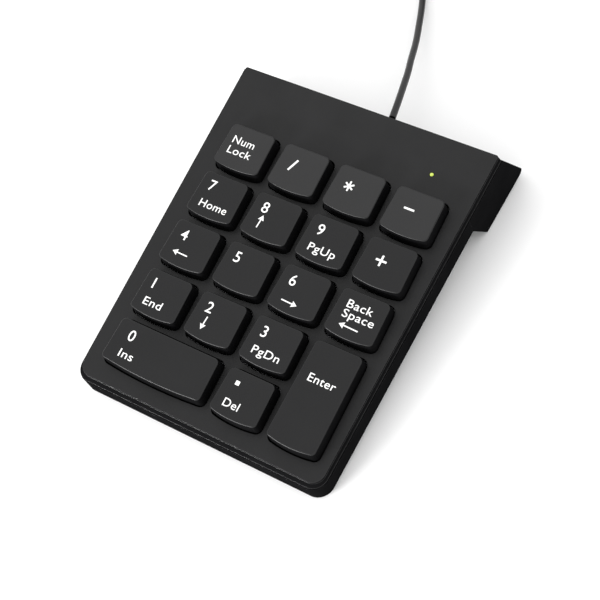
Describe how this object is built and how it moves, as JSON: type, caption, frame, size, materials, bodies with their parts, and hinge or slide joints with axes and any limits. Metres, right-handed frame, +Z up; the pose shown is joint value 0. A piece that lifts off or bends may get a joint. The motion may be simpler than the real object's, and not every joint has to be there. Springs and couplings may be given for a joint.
{
  "type": "numeric keypad",
  "caption": "Desktop numeric keypad with sprung keys in a tilted two-part case, a raised rear foot and a USB lead coiled behind it.",
  "frame": {"origin": "on the table, under the middle of the case (the lead isn't counted)", "axes": "+X to the user's right, +Y to the rear where the lead leaves, +Z up; the key plate is tilted 6.7 degrees so its rear stands higher, and the keys travel square to that plate"},
  "size_m": [0.0902, 0.2167, 0.0234],
  "materials": {
    "cover": "satin",
    "case": "satin",
    "keycap": "satin",
    "inner_plastic": "matt",
    "silicone": "matt",
    "film": "gloss",
    "steel": "satin",
    "board": "satin",
    "chip": "matt",
    "resistor": "matt",
    "led": "gloss",
    "foot_rubber": "matt",
    "cord": "satin"
  },
  "bodies": {
    "case": {"top_cover": "cover", "bottom_case": "case", "key_guide_frame": "inner_plastic", "membrane_clamp_bar": "inner_plastic", "plug_tongue": "inner_plastic", "rubber_dome_sheet": "silicone", "contact_membrane": "film", "backing_plate": "steel", "clock_crystal": "steel", "clamp_screw_left": "steel", "clamp_screw_right": "steel", "case_screw_front_left": "steel", "case_screw_front_right": "steel", "case_screw_rear_left": "steel", "case_screw_rear_right": "steel", "frame_screw_1": "steel", "frame_screw_2": "steel", "frame_screw_3": "steel", "frame_screw_4": "steel", "plug_shell": "steel", "controller_board": "board", "controller_chip": "chip", "smoothing_capacitor": "chip", "led_resistor": "resistor", "status_led": "led", "led_light_pipe": "led", "front_left_pad": "foot_rubber", "front_right_pad": "foot_rubber", "rear_left_pad": "foot_rubber", "rear_right_pad": "foot_rubber", "strain_relief_bush": "cord", "lead_header": "cord", "lead_inner_end": "cord", "usb_cord": "cord", "usb_cord_end": "cord", "cord_coil": "cord", "cord_tie": "cord", "plug_overmould": "cord"},
    "num_lock_key": {"key_num_lock": "keycap"},
    "divide_key": {"key_divide": "keycap"},
    "multiply_key": {"key_multiply": "keycap"},
    "minus_key": {"key_minus": "keycap"},
    "7_key": {"key_7": "keycap"},
    "8_key": {"key_8": "keycap"},
    "9_key": {"key_9": "keycap"},
    "plus_key": {"key_plus": "keycap"},
    "4_key": {"key_4": "keycap"},
    "5_key": {"key_5": "keycap"},
    "6_key": {"key_6": "keycap"},
    "backspace_key": {"key_backspace": "keycap"},
    "1_key": {"key_1": "keycap"},
    "2_key": {"key_2": "keycap"},
    "3_key": {"key_3": "keycap"},
    "enter_key": {"key_enter": "keycap"},
    "0_key": {"key_0": "keycap"},
    "decimal_key": {"key_decimal": "keycap"},
    "stabiliser_0": {"stabiliser_wire_0": "steel"},
    "stabiliser_enter": {"stabiliser_wire_enter": "steel"}
  },
  "joints": [
    {"name": "key_num_lock_press", "type": "slide", "parent": "case", "child": "num_lock_key", "axis": [0, -0.1167, 0.9932], "range_m": [-0.0022, 0], "stiffness_N_per_m": 220, "deforming": ["rubber_dome_sheet"]},
    {"name": "key_divide_press", "type": "slide", "parent": "case", "child": "divide_key", "axis": [0, -0.1167, 0.9932], "range_m": [-0.0022, 0], "stiffness_N_per_m": 220, "deforming": ["rubber_dome_sheet"]},
    {"name": "key_multiply_press", "type": "slide", "parent": "case", "child": "multiply_key", "axis": [0, -0.1167, 0.9932], "range_m": [-0.0022, 0], "stiffness_N_per_m": 220, "deforming": ["rubber_dome_sheet"]},
    {"name": "key_minus_press", "type": "slide", "parent": "case", "child": "minus_key", "axis": [0, -0.1167, 0.9932], "range_m": [-0.0022, 0], "stiffness_N_per_m": 220, "deforming": ["rubber_dome_sheet"]},
    {"name": "key_7_press", "type": "slide", "parent": "case", "child": "7_key", "axis": [0, -0.1167, 0.9932], "range_m": [-0.0022, 0], "stiffness_N_per_m": 220, "deforming": ["rubber_dome_sheet"]},
    {"name": "key_8_press", "type": "slide", "parent": "case", "child": "8_key", "axis": [0, -0.1167, 0.9932], "range_m": [-0.0022, 0], "stiffness_N_per_m": 220, "deforming": ["rubber_dome_sheet"]},
    {"name": "key_9_press", "type": "slide", "parent": "case", "child": "9_key", "axis": [0, -0.1167, 0.9932], "range_m": [-0.0022, 0], "stiffness_N_per_m": 220, "deforming": ["rubber_dome_sheet"]},
    {"name": "key_plus_press", "type": "slide", "parent": "case", "child": "plus_key", "axis": [0, -0.1167, 0.9932], "range_m": [-0.0022, 0], "stiffness_N_per_m": 220, "deforming": ["rubber_dome_sheet"]},
    {"name": "key_4_press", "type": "slide", "parent": "case", "child": "4_key", "axis": [0, -0.1167, 0.9932], "range_m": [-0.0022, 0], "stiffness_N_per_m": 220, "deforming": ["rubber_dome_sheet"]},
    {"name": "key_5_press", "type": "slide", "parent": "case", "child": "5_key", "axis": [0, -0.1167, 0.9932], "range_m": [-0.0022, 0], "stiffness_N_per_m": 220, "deforming": ["rubber_dome_sheet"]},
    {"name": "key_6_press", "type": "slide", "parent": "case", "child": "6_key", "axis": [0, -0.1167, 0.9932], "range_m": [-0.0022, 0], "stiffness_N_per_m": 220, "deforming": ["rubber_dome_sheet"]},
    {"name": "key_backspace_press", "type": "slide", "parent": "case", "child": "backspace_key", "axis": [0, -0.1167, 0.9932], "range_m": [-0.0022, 0], "stiffness_N_per_m": 220, "deforming": ["rubber_dome_sheet"]},
    {"name": "key_1_press", "type": "slide", "parent": "case", "child": "1_key", "axis": [0, -0.1167, 0.9932], "range_m": [-0.0022, 0], "stiffness_N_per_m": 220, "deforming": ["rubber_dome_sheet"]},
    {"name": "key_2_press", "type": "slide", "parent": "case", "child": "2_key", "axis": [0, -0.1167, 0.9932], "range_m": [-0.0022, 0], "stiffness_N_per_m": 220, "deforming": ["rubber_dome_sheet"]},
    {"name": "key_3_press", "type": "slide", "parent": "case", "child": "3_key", "axis": [0, -0.1167, 0.9932], "range_m": [-0.0022, 0], "stiffness_N_per_m": 220, "deforming": ["rubber_dome_sheet"]},
    {"name": "key_enter_press", "type": "slide", "parent": "case", "child": "enter_key", "axis": [0, -0.1167, 0.9932], "range_m": [-0.0022, 0], "stiffness_N_per_m": 220, "deforming": ["rubber_dome_sheet"]},
    {"name": "key_0_press", "type": "slide", "parent": "case", "child": "0_key", "axis": [0, -0.1167, 0.9932], "range_m": [-0.0022, 0], "stiffness_N_per_m": 220, "deforming": ["rubber_dome_sheet"]},
    {"name": "key_decimal_press", "type": "slide", "parent": "case", "child": "decimal_key", "axis": [0, -0.1167, 0.9932], "range_m": [-0.0022, 0], "stiffness_N_per_m": 220, "deforming": ["rubber_dome_sheet"]},
    {"name": "stabiliser_0_swing", "type": "hinge", "parent": "case", "child": "stabiliser_0", "pos_m": [-0.01795, -0.04765, 0.00938], "axis": [1, 0, 0], "range_deg": [-16.8, 0]},
    {"name": "stabiliser_enter_swing", "type": "hinge", "parent": "case", "child": "stabiliser_enter", "pos_m": [0.03308, -0.03583, 0.01077], "axis": [0, 0.9932, 0.1167], "range_deg": [-16.8, 0]}
  ],
  "couplings": [
    {"joint": "stabiliser_0_swing", "follows": "key_0_press", "rad_per_m": 132.04},
    {"joint": "stabiliser_enter_swing", "follows": "key_enter_press", "rad_per_m": 132.04}
  ]
}
